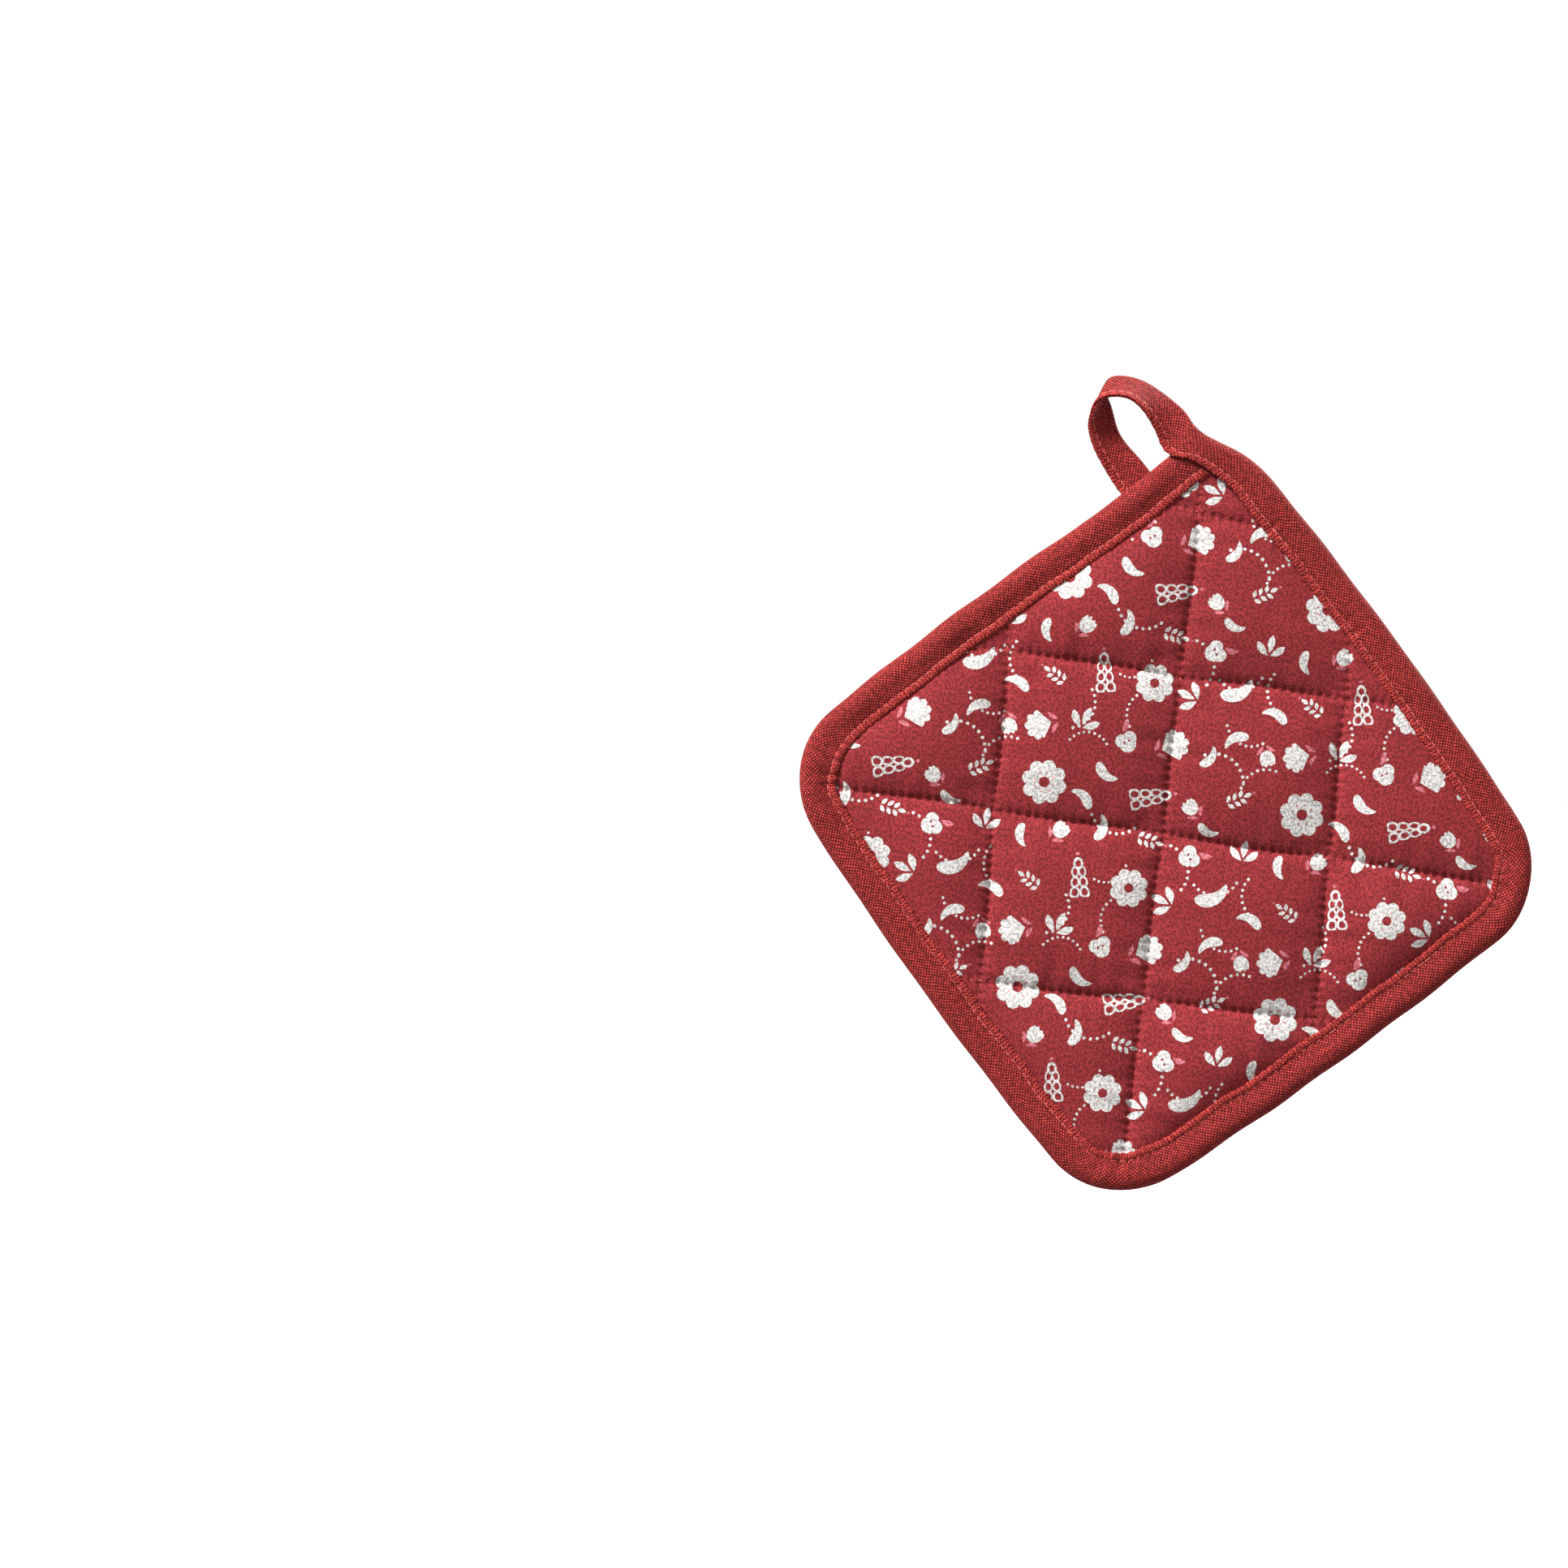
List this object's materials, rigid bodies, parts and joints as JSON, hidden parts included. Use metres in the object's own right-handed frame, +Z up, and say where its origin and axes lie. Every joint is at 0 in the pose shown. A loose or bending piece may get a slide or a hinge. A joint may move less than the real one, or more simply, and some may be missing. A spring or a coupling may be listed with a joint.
{
  "type": "quilted pot holder",
  "caption": "Square quilted pad with a printed front, a plain back, a taped edge and a twisted hanging loop at one corner, that folds in half along its centre seam.",
  "frame": {"origin": "the hook seat: the inside of the top of the hanging loop, at mid thickness of the pad", "axes": "+Z up as it hangs, the printed front faces -Y and the plain back +Y, +X to the right as seen from the front"},
  "size_m": [0.249, 0.0136, 0.2774],
  "materials": {
    "printed_cotton": "matte woven cotton, printed in white and pink on crimson",
    "plain_cotton": "matte woven cotton, plain brick red",
    "edge_tape": "coarse woven canvas tape with a slight sheen",
    "thread": "satin sewing thread",
    "batting": "matte fibre padding"
  },
  "bodies": {
    "loop": {"hanging_loop": "edge_tape"},
    "upper_half": {"edge_binding_upper": "edge_tape", "loop_end": "edge_tape", "front_panel_upper": "printed_cotton", "back_panel_upper": "plain_cotton", "batting_upper": "batting", "loop_tack_stitch": "thread", "binding_stitch_front_upper": "thread", "binding_stitch_back_upper": "thread", "quilt_cross_fold": "thread", "quilt_cross_top_front": "thread", "quilt_cross_top_back": "thread", "quilt_cross_upper_front": "thread", "quilt_cross_upper_back": "thread", "quilt_long_left_front_upper": "thread", "quilt_long_left_back_upper": "thread", "quilt_long_centre_front_upper": "thread", "quilt_long_centre_back_upper": "thread", "quilt_long_right_front_upper": "thread", "quilt_long_right_back_upper": "thread"},
    "lower_half": {"edge_binding_lower": "edge_tape", "front_panel_lower": "printed_cotton", "back_panel_lower": "plain_cotton", "batting_lower": "batting", "binding_stitch_front_lower": "thread", "binding_stitch_back_lower": "thread", "quilt_cross_lower_front": "thread", "quilt_cross_lower_back": "thread", "quilt_long_left_front_lower": "thread", "quilt_long_left_back_lower": "thread", "quilt_long_centre_front_lower": "thread", "quilt_long_centre_back_lower": "thread", "quilt_long_right_front_lower": "thread", "quilt_long_right_back_lower": "thread"}
  },
  "joints": [
    {"name": "loop_swing", "type": "hinge", "parent": "loop", "child": "upper_half", "pos_m": [0.0108, 0, -0.02162], "axis": [0.81, 0, 0.5864], "range_deg": [-70, 70]},
    {"name": "pad_fold", "type": "hinge", "parent": "upper_half", "child": "lower_half", "pos_m": [0.01369, 0, -0.14967], "axis": [0.9919, 0, -0.1271], "range_deg": [-135, 135]}
  ]
}
